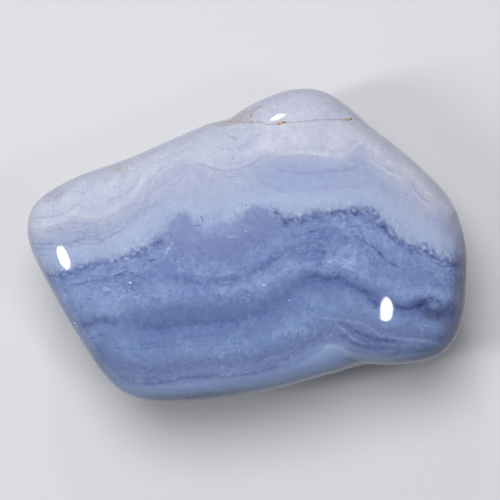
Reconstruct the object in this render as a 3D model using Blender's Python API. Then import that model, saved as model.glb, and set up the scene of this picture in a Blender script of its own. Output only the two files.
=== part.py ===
# A tumbled chalcedony stone: one solid lump of banded agate, worn smooth on every side.
# X runs along its length, Y across it, and Z up from the small flat that it rests on. The
# origin is at the middle of the stone's box, on that flat.
# The lump is a broken piece of a vein. Its sides are old breaks, so seen from above it is a
# blunt five-sided slab with a lobe at the far side, and its top and underside are shallow
# faces at different slopes. Tumbling has rounded every meeting of two faces.

import math

import bmesh
import bpy
import numpy as np

MM = 0.001

# Driving sizes, in millimetres
THICKNESS = 11.4
RIM_HEIGHT = 7.3          # level where the stone is widest
SIDE_BULGE = 13.0         # radius of the sides' upright curve
TOP_MIDDLE = (-1.5, -0.5) # highest point of the crowned top
CROWN_ALONG = 85.0        # radius of the top's curve along X
CROWN_ACROSS = 50.0       # radius of the top's curve along Y
TOP_WEAR = 1.9            # how far the rounding between top and sides reaches
UNDER_WEAR = 3.2          # the same, between the underside and the sides

# Half lengths of the plain ellipsoid whose mesh is moved onto the stone's surface, and how
# often its squares are cut along X, Y and Z, which makes them about as long as wide
BODY = (14.0, 10.0, 5.7)
CUTS = (39, 28, 15)

# The outline from above, anticlockwise from the right-hand end
OUTLINE = (
    (13.97, -0.30), (13.70, 1.10), (13.20, 2.50), (12.35, 3.70), (11.35, 4.70), (10.35, 5.60),
    (9.40, 6.40), (8.45, 7.12), (7.50, 7.88), (6.66, 8.65), (5.75, 9.38), (4.75, 9.90),
    (3.55, 10.05), (2.35, 9.88), (1.20, 9.45), (0.20, 8.96), (-0.70, 8.42), (-1.22, 8.00),
    (-1.72, 7.98), (-2.45, 7.79), (-4.05, 7.14), (-5.80, 6.35), (-7.75, 5.53), (-10.50, 4.57),
    (-12.15, 3.76), (-13.60, 2.64), (-14.03, 1.20), (-13.72, -0.30), (-12.75, -2.30),
    (-11.40, -4.75), (-9.70, -7.45), (-8.90, -8.50), (-8.00, -9.30), (-6.80, -9.78),
    (-5.20, -9.97), (-2.90, -9.87), (-0.80, -9.60), (2.00, -9.05), (4.80, -8.27),
    (6.90, -7.70), (7.45, -7.53), (8.40, -7.57), (10.20, -7.50), (12.05, -7.10),
    (13.20, -6.05), (13.72, -4.65), (13.92, -3.20),
)
POINTS_PER_SPAN = 6

# Sloping faces: the compass direction they lean to (degrees from +X), how steep they are
# (degrees from level), a point that they pass through, and how far their rounding reaches.
UPPER_FACES = (
    ("right slope", 340.0, 16.0, (8.9, -3.5, 10.8), 1.2),
    ("upper right slope", 25.0, 15.0, (8.7, 3.0, 10.7), 1.2),
    ("lower slope", 262.0, 19.0, (-3.0, -7.4, 10.9), 0.5),
    ("lobe slope", 104.0, 18.0, (3.0, 7.6, 10.8), 0.4),
    ("left slope", 160.0, 12.0, (-10.8, 1.0, 10.9), 0.4),
)
UNDER_FACES = (
    ("under left", 188.0, 15.0, (-6.2, -0.5, 0.0), 0.5),
    ("under right", 8.0, 14.0, (6.8, -0.5, 0.0), 0.5),
    ("under lower", 264.0, 21.0, (0.5, -5.0, 0.0), 0.6),
    ("under upper", 78.0, 17.0, (0.5, 4.0, 0.0), 0.5),
    ("under lower right", 312.0, 20.0, (4.8, -4.2, 0.0), 0.5),
    ("under upper left", 132.0, 18.0, (-4.2, 3.2, 0.0), 0.5),
)

# The crease that parts the lower right lobe from the rest: its ends, depth and half width
CREASE_START = (7.5, -7.9)
CREASE_END = (4.4, -5.4)
CREASE_DEPTH = 0.42
CREASE_WIDTH = 1.3
CREASE_RISE = 2.5         # height above the rim at which the crease has its full depth

# Shallow hollows of old chips, all polished over, and the swell of the lower right lobe:
# a middle, how far it reaches, and its depth, which is negative where the surface swells.
HOLLOWS = (
    ("lobe swell", (9.0, -4.4, 10.8), 4.6, -0.12),
    ("chip under the left end", (-9.6, 2.6, 1.8), 3.6, 0.45),
    ("chip in the right side", (11.0, 4.4, 3.2), 3.4, 0.40),
    ("chip in the lower side", (-3.6, -9.4, 2.8), 3.8, 0.45),
    ("chip in the upper side", (-6.5, 5.6, 3.0), 3.4, 0.35),
)

FLAT_TOLERANCE = 0.002
FAR_OUT = 2.0             # outside the stone in every direction, in ellipsoid radii
SEARCH_STEPS = 30

COLOUR = (0.30, 0.35, 0.56, 1.0)
ROUGHNESS = 0.12


def outline_curve(points, per_span):
    """A closed curve through the points, with the slope at each taken from its neighbours."""
    points = np.array(points)
    before = np.roll(points, 1, axis=0)
    after = np.roll(points, -1, axis=0)
    beyond = np.roll(points, -2, axis=0)
    step_back = np.linalg.norm(points - before, axis=1)[:, None]
    step = np.linalg.norm(after - points, axis=1)[:, None]
    step_on = np.linalg.norm(beyond - after, axis=1)[:, None]
    slope = (after - before) / (step_back + step) * step
    slope_after = (beyond - points) / (step + step_on) * step
    curve = []
    for i in range(per_span):
        t = i / per_span
        curve.append(
            points * (2 * t**3 - 3 * t**2 + 1)
            + slope * (t**3 - 2 * t**2 + t)
            + after * (3 * t**2 - 2 * t**3)
            + slope_after * (t**3 - t**2)
        )
    return np.stack(curve, axis=1).reshape(-1, 2)


def outline_distance(places, curve):
    """How far each place lies outside the outline, seen from above; negative inside."""
    start = curve
    end = np.roll(curve, -1, axis=0)
    edge = end - start
    offset = places[:, None, :2] - start[None]
    along = np.clip((offset * edge).sum(axis=2) / (edge * edge).sum(axis=1), 0.0, 1.0)
    nearest = offset - along[..., None] * edge
    distance = np.sqrt((nearest * nearest).sum(axis=2).min(axis=1))
    y = places[:, 1, None]
    spans = (start[:, 1] > y) != (end[:, 1] > y)
    rise = np.where(edge[:, 1] == 0.0, 1.0, edge[:, 1])
    crossing = start[:, 0] + (y - start[:, 1]) / rise * edge[:, 0]
    inside = (spans & (places[:, 0, None] < crossing)).sum(axis=1) % 2 == 1
    return np.where(inside, -distance, distance)


def worn(a, b, reach):
    """Both faces together, with their meeting rounded where they are within reach."""
    near = np.maximum(reach - np.abs(a - b), 0.0) / reach
    return np.maximum(a, b) + near * near * reach / 4.0


def face_distance(places, lean, slope, through, upward):
    """Distance outside a sloping face that leans to a compass direction."""
    lean = math.radians(lean)
    slope = math.radians(slope)
    normal = np.array((
        math.cos(lean) * math.sin(slope),
        math.sin(lean) * math.sin(slope),
        math.cos(slope) * upward,
    ))
    return (places - np.array(through)) @ normal


def fading(away, reach):
    """One at no distance, easing down to nothing at the reach."""
    return np.maximum(1.0 - (away / reach) ** 2, 0.0) ** 3


def crease_depth(places):
    """Depth of the crease, full near the rim and fading out on the top."""
    start = np.array(CREASE_START)
    run = np.array(CREASE_END) - start
    offset = places[:, :2] - start
    along = np.clip(offset @ run / (run @ run), 0.0, 1.0)
    away = np.linalg.norm(offset - along[:, None] * run, axis=1)
    above_rim = np.clip((places[:, 2] - RIM_HEIGHT) / CREASE_RISE, 0.0, 1.0)
    return CREASE_DEPTH * (1.0 - along) * above_rim * fading(away, CREASE_WIDTH)


def hollow_depth(places):
    """Depth of all the hollows together, less where the surface swells."""
    depth = np.zeros(len(places))
    for _, middle, reach, deepest in HOLLOWS:
        away = np.linalg.norm(places - np.array(middle), axis=1)
        depth += deepest * fading(away, reach)
    return depth


def outside(places, curve):
    """Roughly how far each place lies outside the finished stone; negative inside."""
    x, y, z = places.T
    sides = outline_distance(places, curve) + (z - RIM_HEIGHT) ** 2 / (2.0 * SIDE_BULGE)
    top = z - THICKNESS
    top = top + (x - TOP_MIDDLE[0]) ** 2 / (2.0 * CROWN_ALONG)
    top = top + (y - TOP_MIDDLE[1]) ** 2 / (2.0 * CROWN_ACROSS)
    for _, lean, slope, through, reach in UPPER_FACES:
        top = worn(top, face_distance(places, lean, slope, through, 1.0), reach)
    under = -z
    for _, lean, slope, through, reach in UNDER_FACES:
        under = worn(under, face_distance(places, lean, slope, through, -1.0), reach)
    whole = worn(worn(sides, top, TOP_WEAR), under, UNDER_WEAR)
    return whole + crease_depth(places) + hollow_depth(places)


def surface_points(directions, curve):
    """The point of the surface in each direction from the stone's middle, found by halving."""
    middle = np.array((0.0, 0.0, THICKNESS / 2.0))
    near = np.zeros(len(directions))
    far = np.full(len(directions), FAR_OUT)
    for _ in range(SEARCH_STEPS):
        reach = (near + far) / 2.0
        out = outside(middle + directions * reach[:, None], curve) > 0.0
        far = np.where(out, reach, far)
        near = np.where(out, near, reach)
    points = middle + directions * near[:, None]
    points[np.abs(points[:, 2]) < FLAT_TOLERANCE, 2] = 0.0
    points[:, :2] -= (points[:, :2].max(axis=0) + points[:, :2].min(axis=0)) / 2.0
    return points


def make_material():
    """Polished blue-grey chalcedony."""
    material = bpy.data.materials.new("polished chalcedony")
    material.use_nodes = True
    shader = material.node_tree.nodes["Principled BSDF"]
    shader.inputs["Base Color"].default_value = COLOUR
    shader.inputs["Roughness"].default_value = ROUGHNESS
    shader.inputs["Metallic"].default_value = 0.0
    return material


def cut_edges_along(bm, axis, cuts):
    """Divides each edge that runs right across the cube along one axis."""
    edges = [e for e in bm.edges if abs(e.verts[1].co[axis] - e.verts[0].co[axis]) > 1.0]
    bmesh.ops.subdivide_edges(bm, edges=edges, cuts=cuts, use_grid_fill=True)


def make_stone():
    """A cube of fine squares, blown out to an ellipsoid and moved onto the worn surface."""
    mesh = bpy.data.meshes.new("stone")
    bm = bmesh.new()
    bmesh.ops.create_cube(bm, size=2.0)
    for axis, cuts in enumerate(CUTS):
        cut_edges_along(bm, axis, cuts)
    bm.verts.ensure_lookup_table()
    cube = np.array([v.co for v in bm.verts])
    ball = np.tan(cube * math.pi / 4.0)
    ball = ball / np.linalg.norm(ball, axis=1)[:, None]
    points = surface_points(ball * np.array(BODY), outline_curve(OUTLINE, POINTS_PER_SPAN))
    for vert, point in zip(bm.verts, points):
        vert.co = point * MM
    bmesh.ops.recalc_face_normals(bm, faces=bm.faces[:])
    bm.to_mesh(mesh)
    bm.free()
    mesh.shade_smooth()
    mesh.materials.append(make_material())
    stone = bpy.data.objects.new("stone", mesh)
    bpy.context.scene.collection.objects.link(stone)
    return stone


def main():
    for old in list(bpy.data.objects):
        bpy.data.objects.remove(old, do_unlink=True)
    make_stone()


main()
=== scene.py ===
# %% [markdown]
# # A tumbled blue chalcedony
# The object is one polished pebble of banded chalcedony, 28 mm long, seen from straight
# above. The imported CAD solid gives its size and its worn, blunt form. This script gives it a
# fine surface, its layers of colour, a plain floor, soft light and a camera.

import bmesh
import bpy
import numpy as np
from mathutils import Matrix, Vector


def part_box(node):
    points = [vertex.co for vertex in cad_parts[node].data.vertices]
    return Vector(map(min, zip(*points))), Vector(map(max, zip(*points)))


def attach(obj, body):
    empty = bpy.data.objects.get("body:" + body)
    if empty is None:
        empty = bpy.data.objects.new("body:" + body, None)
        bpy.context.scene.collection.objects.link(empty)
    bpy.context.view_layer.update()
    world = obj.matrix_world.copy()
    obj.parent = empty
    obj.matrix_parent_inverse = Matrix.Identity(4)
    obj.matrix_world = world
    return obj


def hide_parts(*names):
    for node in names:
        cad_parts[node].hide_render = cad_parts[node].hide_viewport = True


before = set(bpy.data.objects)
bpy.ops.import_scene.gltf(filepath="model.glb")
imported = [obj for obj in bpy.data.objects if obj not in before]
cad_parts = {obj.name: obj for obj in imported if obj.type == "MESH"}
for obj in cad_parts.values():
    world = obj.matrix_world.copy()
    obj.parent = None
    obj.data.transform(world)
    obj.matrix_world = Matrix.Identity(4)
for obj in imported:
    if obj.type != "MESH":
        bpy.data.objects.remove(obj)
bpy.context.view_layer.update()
MM = 0.001
stone_low, stone_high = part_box("stone")
print("CAD stone, mm:", [round(v / MM, 2) for v in stone_high - stone_low])

# %% [markdown]
# ## The camera
# The photograph looks straight down on the stone, and its middle is nearly the middle of the
# stone. A long lens far away keeps the sides from showing, as in the photograph. The height
# follows from how many millimetres one pixel spans at the stone's widest level.

# %% Place the camera
PICTURE = 500             # pixels along a side of the photograph
PIXEL = 0.0635            # millimetres spanned by a pixel at the rim
RIM_LEVEL = 7.8           # millimetres from the floor up to the stone's widest level
LENS = 200.0              # focal length and sensor width, in millimetres
SENSOR = 36.0
focal = PICTURE * LENS / SENSOR   # the focal length in pixels
EYE = (0.175, -0.29, RIM_LEVEL + focal * PIXEL)

camera = bpy.data.objects.new("camera", bpy.data.cameras.new("camera"))
bpy.context.scene.collection.objects.link(camera)
camera.data.lens = LENS
camera.data.sensor_width = SENSOR
camera.data.clip_start = 10 * MM
camera.location = Vector(EYE) * MM
bpy.context.scene.camera = camera
print("eye, mm:", [round(v, 2) for v in EYE])

# %% [markdown]
# ## The stone's surface
# A tumbled stone has no facets at all: weeks in the tumbler leave it as smooth as glass. The
# CAD solid is made of flat triangles of uneven size, and dividing those would leave ripples.
# So a copy is merged and rebuilt from even voxels, and the steps of the voxels are relaxed
# away. The even points also carry the layers of colour, which are set point by point below.

# %% Rebuild the stone from even voxels
VOXEL = 0.16 * MM
RELAX_ROUNDS = 40         # enough to take away the steps that voxels leave


def rebuilt_copy(node, name):
    """A merged copy of a CAD node, rebuilt from voxels and relaxed."""
    bm = bmesh.new()
    bm.from_mesh(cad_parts[node].data)
    bmesh.ops.remove_doubles(bm, verts=bm.verts[:], dist=0.001 * MM)
    rough = bpy.data.meshes.new(name + "_rough")
    bm.to_mesh(rough)
    bm.free()
    piece = bpy.data.objects.new(name, rough)
    bpy.context.scene.collection.objects.link(piece)
    remesh = piece.modifiers.new("voxels", "REMESH")
    remesh.mode = "VOXEL"
    remesh.voxel_size = VOXEL
    relax = piece.modifiers.new("relax", "SMOOTH")
    relax.factor = 0.5
    relax.iterations = RELAX_ROUNDS
    graph = bpy.context.evaluated_depsgraph_get()
    fine = bpy.data.meshes.new_from_object(piece.evaluated_get(graph))
    fine.name = name
    piece.modifiers.clear()
    piece.data = fine
    bpy.data.meshes.remove(rough)
    fine.shade_smooth()
    return piece


stone = rebuilt_copy("stone", "chalcedony")
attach(stone, "root")
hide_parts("stone")
print("fine surface:", len(stone.data.vertices), "points")

# %% [markdown]
# ## Where the lobe meets the shoulder
# The polish shows every dip. The CAD solid has a very shallow one beside the lobe, where the
# real shoulder runs on straight, and it would mirror the same lamp twice. So the points there
# are pushed out by a tenth of a millimetre, less and less with distance from its middle.

# %% Fill the dip beside the lobe
DIP = (0.30, 7.10, 10.5)  # its middle, in millimetres
DIP_RADIUS = 1.6
DIP_DEPTH = 0.12


def read_points(kind):
    """All places or normals of the stone's points, as rows."""
    values = np.empty(len(stone.data.vertices) * 3, np.float32)
    stone.data.vertices.foreach_get(kind, values)
    return values.reshape(-1, 3)


places = read_points("co") / MM
from_dip = np.linalg.norm(places - DIP, axis=1)
push = DIP_DEPTH * np.exp(-0.5 * (from_dip / DIP_RADIUS) ** 2)
places = places + read_points("normal") * push[:, None]
stone.data.vertices.foreach_set("co", (places * MM).astype(np.float32).ravel())
stone.data.update()
print("stone, mm:", np.ptp(places, axis=0).round(2), "most pushed:", push.max().round(3))

# %% [markdown]
# ## Two helpers for materials
# Colours are written as the hex values that a colour picker shows, and shaders take linear
# values, so one function turns one into the other. A material is a web of nodes, which the
# editor joins by hand. In a script it stays readable when one small function adds a node with
# all its settings and links.

# %% Helpers for materials
def linear(hex_colour):
    """An sRGB hex colour as the linear values that shaders take."""
    parts = [int(hex_colour[i:i + 2], 16) / 255 for i in (1, 3, 5)]
    return [v / 12.92 if v <= 0.04045 else ((v + 0.055) / 1.055) ** 2.4 for v in parts] + [1.0]


def add_node(tree, kind, settings):
    """Adds a node. Each setting is a property or a socket; a node or socket is linked."""
    node = tree.nodes.new(kind)
    for key, value in settings.items():
        if isinstance(key, str) and hasattr(node, key):
            setattr(node, key, value)
        elif isinstance(value, bpy.types.Node):
            tree.links.new(value.outputs[0], node.inputs[key])
        elif isinstance(value, bpy.types.NodeSocket):
            tree.links.new(value, node.inputs[key])
        else:
            node.inputs[key].default_value = value
    return node


print("mid grey is", round(linear("#808080")[0], 3), "in linear light")

# %% [markdown]
# ## The layers
# Chalcedony grew in a vein, layer on layer, and each layer followed the bumps of the one
# before. A procedural wave texture would give even, parallel bands, and these are not: they
# bend round a bowl at the top, pinch at the right and fray into lace in the middle. So each
# layer has a line of its own across the stone, drawn through a few places that were read
# off the photograph, in its pixels. Every point of the surface then gets its layer number:
# between the fourth and the fifth line it runs from 4 to 5.

# %% Draw the layers
# name, colour, how ragged its edge is in millimetres, how strongly its lace shows from 0 to 1,
# and its line from left to right
LAYERS = (
    ("far cream", "#9aa1b8", 0.15, 0.90, ((0, -60), (500, -60))),
    ("upper cream", "#bcbccb", 0.15, 0.30, ((0, 60), (500, 60))),
    ("white waves", "#b6bacb", 0.15, 0.35, (
        (28, 218), (45, 212), (65, 205), (85, 196), (105, 190), (125, 177), (145, 167), (165, 158),
        (185, 152), (205, 151), (225, 156), (245, 153), (285, 149), (305, 150), (325, 149),
        (345, 136), (365, 139), (385, 158), (405, 170), (425, 189), (445, 205), (467, 228))),
    ("edge of the cream", "#aaafc4", 0.08, 0.30, (
        (28, 232), (45, 229), (60, 226), (68, 219), (75, 216), (88, 220), (97, 218), (118, 209),
        (130, 200), (140, 188), (157, 173), (180, 163), (200, 165), (215, 170), (230, 168),
        (245, 165), (265, 154), (285, 158), (315, 160), (330, 163), (340, 160), (350, 152),
        (358, 146), (365, 150), (375, 164), (390, 173), (415, 193), (435, 209), (465, 232))),
    ("grey lines", "#9ca5c0", 0.05, 0.35, (
        (28, 247), (45, 245), (65, 240), (85, 237), (105, 232), (125, 224), (145, 213), (165, 195),
        (185, 180), (225, 178), (245, 180), (265, 178), (285, 172), (305, 174), (325, 174),
        (345, 170), (365, 164), (385, 185), (405, 200), (425, 210), (445, 224), (467, 240))),
    ("pale blue", "#a1acc8", 0.08, 0.15, (
        (28, 255), (45, 256), (65, 257), (85, 248), (105, 246), (125, 237), (145, 228), (165, 212),
        (185, 201), (205, 205), (225, 204), (245, 196), (265, 192), (285, 196), (305, 197),
        (325, 194), (345, 193), (365, 194), (385, 205), (405, 217), (425, 230), (445, 239),
        (467, 247))),
    ("fringe of the pale blue", "#97a4c1", 0.38, 0.80, (
        (28, 262), (45, 271), (65, 270), (85, 262), (105, 260), (125, 254), (140, 247), (150, 240),
        (160, 232), (170, 223), (180, 213), (187, 208), (190, 214), (192, 226), (198, 228),
        (206, 229), (214, 225), (225, 222), (240, 214), (250, 206), (257, 204), (265, 207),
        (285, 216), (297, 217), (310, 213), (335, 208), (352, 207), (370, 208), (378, 215),
        (392, 230), (410, 243), (430, 250), (440, 255), (467, 258))),
    ("upper dark", "#6f7fa8", 0.34, 0.90, (
        (28, 270), (45, 277), (65, 276), (85, 268), (105, 264), (125, 261), (145, 252), (165, 244),
        (185, 250), (205, 253), (225, 252), (245, 246), (265, 234), (285, 221), (305, 220),
        (325, 216), (345, 213), (365, 214), (385, 230), (405, 246), (425, 254), (445, 263),
        (467, 266))),
    ("upper veil", "#778ab5", 0.25, 1.00, (
        (28, 276), (65, 280), (85, 272), (105, 269), (125, 266), (145, 259), (165, 254),
        (185, 265), (205, 270), (225, 269), (245, 263), (265, 254), (285, 240), (305, 229),
        (325, 226), (345, 225), (365, 228), (385, 240), (405, 256), (425, 262), (445, 270),
        (467, 274))),
    ("second dark", "#7082ae", 0.16, 0.85, (
        (28, 282), (65, 285), (85, 277), (105, 277), (125, 274), (145, 277), (165, 272),
        (185, 277), (205, 280), (225, 278), (245, 275), (265, 267), (285, 254), (305, 245),
        (325, 237), (345, 235), (365, 240), (385, 261), (405, 275), (425, 279), (445, 286),
        (467, 290))),
    ("middle veil", "#7b8fb9", 0.20, 0.95, (
        (28, 295), (65, 298), (85, 300), (105, 303), (125, 295), (145, 292), (165, 294),
        (185, 291), (205, 291), (225, 293), (245, 289), (265, 283), (285, 270), (305, 264),
        (325, 268), (345, 266), (365, 275), (385, 289), (405, 296), (425, 293), (445, 296),
        (467, 300))),
    ("darkest band", "#60709d", 0.10, 0.60, (
        (28, 325), (85, 325), (105, 320), (125, 319), (145, 326), (165, 326), (185, 321),
        (205, 320), (225, 318), (245, 313), (265, 309), (285, 298), (305, 279), (325, 278),
        (345, 278), (365, 291), (385, 302), (405, 309), (425, 308), (445, 313), (467, 314))),
    ("lower veil", "#758ab3", 0.18, 0.65, (
        (28, 337), (85, 338), (105, 345), (125, 352), (145, 354), (165, 352), (185, 348),
        (205, 347), (225, 347), (245, 345), (265, 341), (285, 333), (305, 320), (325, 312),
        (345, 305), (365, 310), (385, 319), (405, 319), (425, 326), (445, 328), (467, 328))),
    ("third dark", "#6978a0", 0.22, 0.60, (
        (28, 356), (105, 360), (125, 366), (145, 368), (165, 369), (185, 366), (205, 361),
        (225, 361), (245, 362), (265, 356), (285, 349), (305, 344), (325, 335), (345, 326),
        (365, 328), (385, 330), (405, 331), (425, 337), (445, 338), (467, 340))),
    ("thread between", "#6f80a9", 0.18, 0.60, (
        (28, 366), (105, 368), (145, 375), (185, 372), (225, 368), (265, 363), (305, 350),
        (325, 340), (345, 333), (365, 340), (405, 338), (445, 344), (467, 346))),
    ("last dark", "#7687af", 0.18, 0.55, (
        (28, 376), (105, 376), (145, 382), (185, 378), (225, 375), (265, 369), (305, 356),
        (325, 344), (345, 340), (365, 346), (385, 343), (405, 346), (425, 349), (467, 351))),
    ("lower pale", "#8ea1c6", 0.06, 0.15, (
        (28, 388), (105, 386), (145, 389), (185, 385), (225, 382), (265, 376), (285, 371),
        (305, 363), (325, 349), (335, 346), (345, 352), (365, 357), (385, 360), (405, 362),
        (467, 364))),
    ("below", "#798db6", 0.10, 0.15, ((0, 460), (500, 460))),
    ("far below", "#7b8eb4", 0.20, 0.15, ((0, 560), (500, 560))),
)
print("layers:", len(LAYERS))

# %% Find the layer of a place
COLUMNS = np.arange(-60, 561)   # the picture's columns, and some beside it for the sides
CLOSEST = 2.0             # pixels kept between two lines
SOFTENED = 4.0            # pixels over which a line's corners are rounded
SPREAD = 12               # pixels to each side that count in that


def layer_lines():
    """The height of each layer's line in each column, in order, with rounded corners."""
    spread = np.exp(-0.5 * (np.arange(-SPREAD, SPREAD + 1) / SOFTENED) ** 2)
    lines = []
    for *_, points in LAYERS:
        across, down = np.array(points, float).T
        line = np.interp(COLUMNS, across, down)
        line = np.convolve(np.pad(line, SPREAD, mode="edge"), spread / spread.sum(), "valid")
        if lines:
            line = np.maximum(line, lines[-1] + CLOSEST)
        lines.append(line)
    return np.array(lines)


LINES = layer_lines()


def layer_number(across, down):
    """The layer number at places of the photograph."""
    column = np.clip(across - COLUMNS[0], 0, len(COLUMNS) - 2)
    left = column.astype(int)
    part = column - left
    here = LINES[:, left] * (1 - part) + LINES[:, left + 1] * part
    index = np.clip((here <= down).sum(axis=0) - 1, 0, len(LAYERS) - 2)
    each = np.arange(len(down))
    above, below = here[index, each], here[index + 1, each]
    return index + np.clip((down - above) / (below - above), 0.0, 1.0)


print("layer in the middle of the picture:", layer_number(np.array([250.0]), np.array([250.0])))

# %% [markdown]
# ## The layers in depth
# The layers are sheets that run through the stone, so they must also meet its sides and its
# underside. A pattern projected straight down would leave upright stripes there. Below the
# rim each point looks up its layer further along, as if the sheets leaned and folded.

# %% Give each point its layer
LEAN = (0.22, 0.42)       # how far the sheets lean sideways and upwards, per millimetre of depth
FOLD = 0.9                # how far they fold at the underside, in millimetres
FOLDS_ACROSS = (0.55, 0.9)   # radians of the fold's wave to a millimetre along Y and along Z
FOLDS_UP = (0.42, 0.7)    # the same along X and along Z, for the other fold
FOLDS_UP_START = 1.0


def seen_from_above(points):
    """Places of the photograph, in pixels, for points of the stone in millimetres."""
    x, y, z = points.T
    depth = np.maximum(RIM_LEVEL - z, 0.0)
    fold = FOLD * depth / RIM_LEVEL
    lean_x = LEAN[0] * depth + fold * np.sin(FOLDS_ACROSS[0] * y + FOLDS_ACROSS[1] * z)
    wave = FOLDS_UP[0] * x + FOLDS_UP[1] * z + FOLDS_UP_START
    lean_y = LEAN[1] * depth + fold * np.sin(wave)
    scale = focal / (EYE[2] - np.maximum(z, RIM_LEVEL))
    across = PICTURE / 2 + (x + lean_x - EYE[0]) * scale
    down = PICTURE / 2 - (y + lean_y - EYE[1]) * scale
    return across, down


def add_values(name, values):
    """Keeps one number for each point of the stone, under a name that materials read."""
    attribute = stone.data.attributes.new(name, "FLOAT", "POINT")
    attribute.data.foreach_set("value", values.astype(np.float32))


across, down = seen_from_above(places)
growth = layer_number(across, down)
REACH = 9.0               # pixels above and below a point over which its pace is taken
pace = layer_number(across, down + REACH) - layer_number(across, down - REACH)
pace = pace / (2 * REACH * PIXEL)
ragged = np.interp(growth, np.arange(len(LAYERS)), [layer[2] for layer in LAYERS])
threaded = np.interp(growth, np.arange(len(LAYERS)), [layer[3] for layer in LAYERS])

# where the layers pinch together at the right they lie calmly, one fold beside the next
PINCH = (370, 333)        # its middle, in pixels
PINCH_RADII = (42, 17)
CALM = 0.8                # share of the raggedness that is missing there
from_pinch = np.hypot((across - PINCH[0]) / PINCH_RADII[0], (down - PINCH[1]) / PINCH_RADII[1])
ragged = ragged * (1 - CALM * np.exp(-0.5 * from_pinch ** 4))
add_values("growth", growth)
add_values("pace", pace)
add_values("ragged", ragged)
print("layer numbers", growth.min().round(2), "to", growth.max().round(2))
print("layers in a millimetre, on average:", pace.mean().round(2))

# %% [markdown]
# ## Clouds in the stone
# Iron and water have stained the stone in places since it grew: it is mauve behind the fringe,
# smoky in a few patches at the right, brown along the right-hand rim and rusty beside the
# fracture. Three clouds at the rim are no stains but painted shade: they darken the near rim,
# the lower left rim and a thin line along the upper right rim. These have soft edges, so they
# are sprayed onto the points of the surface, each cloud over the ones before, and the material
# lays them over the layers.

# %% Spray the clouds
# name, middle and radii in pixels of the photograph, turn in degrees, colour, strength and the
# layer at which it starts, because a pale layer let no stain through
CLOUDS = (
    ("mauve left", (186, 236), (19, 17), -20, "#7b86b0", 0.75, 5.9),
    ("mauve peak", (184, 222), (9, 14), 0, "#828db3", 0.9, 5.9),
    ("mauve middle", (222, 241), (30, 12), -8, "#7985b0", 0.7, 5.9),
    ("mauve right", (262, 223), (13, 18), -20, "#7884ae", 0.8, 5.9),
    ("haze over the mauve", (216, 226), (24, 8), 4, "#8e9bc0", 0.55, 0),
    ("pale left of the lobe", (205, 186), (36, 13), -6, "#aeb3c7", 0.45, 0),
    ("lavender under the lobe", (300, 173), (42, 13), 0, "#97a3c8", 0.6, 0),
    ("foot of the lavender", (302, 186), (36, 5), 0, "#97a4ca", 0.45, 0),
    ("pale bowl below it", (300, 200), (46, 6), 0, "#a7b4d1", 0.6, 0),
    ("heart of the darkest band", (205, 312), (52, 7), -3, "#5c6c9a", 0.6, 0),
    ("teal at the left", (82, 316), (36, 40), 25, "#8093b4", 0.45, 0),
    ("pale patch at the left", (111, 309), (11, 6), 5, "#8b9cc1", 0.6, 0),
    ("dark patch under it", (98, 322), (17, 4), -10, "#64719b", 0.5, 0),
    ("grey in the fold", (357, 314), (12, 6), 35, "#6f7c9f", 0.45, 0),
    ("smoky rim", (464, 292), (11, 48), 0, "#63698a", 0.65, 0),
    ("rusty rim", (454, 326), (12, 18), -20, "#6b667e", 0.5, 0),
    ("smoky foot", (430, 354), (48, 8), -8, "#566282", 0.5, 0),
    # painted shade, not stains: the next two darken the near rim and the lower left rim
    ("shaded edge", (225, 400), (80, 7), -4, "#46577e", 0.8, 0),
    ("shaded edge at the left", (98, 356), (8, 26), 30, "#62729b", 0.5, 0),
    ("smoky patch", (410, 308), (8, 3), 0, "#4d5d86", 0.45, 0),
    ("smoky patch end", (422, 304), (8, 5), 0, "#40507a", 0.85, 0),
    ("smoky patch below", (434, 312), (12, 7), 0, "#4d5879", 0.8, 0),
    ("cream at the right", (432, 196), (8, 24), 42, "#b3b1c3", 0.5, 0),
    # painted shade: a thin dark line along the upper right rim
    ("painted shade on the right rim", (458.5, 211), (3.2, 22), 27, "#7d849f", 0.6, 0),
    ("pink streaks at the rim", (452, 226), (9, 7), 30, "#aba9bd", 0.5, 0),
    ("brown rim", (465, 286), (5.5, 34), 0, "#705f74", 0.7, 0),
    ("rust at the upper edge", (118, 168), (12, 5), -28, "#b3adb7", 0.5, 0),
    ("smudge near the left rim", (54, 194), (10, 5), -30, "#9798aa", 0.45, 0),
    ("rust at the notch", (236, 119.5), (8, 2.6), -22, "#b7a293", 0.8, 0),
    ("rust in the lobe", (246, 116), (9, 5), -25, "#ada2a8", 0.7, 0),
)
SETS_IN = 0.2             # part of a layer over which a cloud sets in at its first layer


def cloud_cover():
    """Colour and cover of all clouds together at each point of the stone."""
    colours = np.zeros((len(across), 3))
    cover = np.zeros(len(across))
    for _, middle, radii, turn, colour, strength, first in CLOUDS:
        angle = np.radians(turn)
        x, y = across - middle[0], down - middle[1]
        along = (x * np.cos(angle) + y * np.sin(angle)) / radii[0]
        over = (y * np.cos(angle) - x * np.sin(angle)) / radii[1]
        here = strength * np.exp(-0.5 * (along ** 2 + over ** 2) ** 1.5)
        here = here * np.clip((growth - first) / SETS_IN, 0, 1)
        kept = cover * (1 - here)
        total = np.maximum(kept + here, 1e-6)
        mix = (here / total)[:, None]
        colours = colours * (1 - mix) + np.array(linear(colour)[:3]) * mix
        cover = kept + here
    return colours, cover


cloud_colours, cover = cloud_cover()
clouds = stone.data.attributes.new("clouds", "FLOAT_COLOR", "POINT")
on_points = np.column_stack((cloud_colours, cover)).astype(np.float32)
clouds.data.foreach_set("color", on_points.ravel())
print("points under clouds:", int((cover > 0.3).sum()))

CALMER = 0.75             # share of the lace that a full cloud hides
add_values("threaded", threaded * (1 - CALMER * cover))
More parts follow.
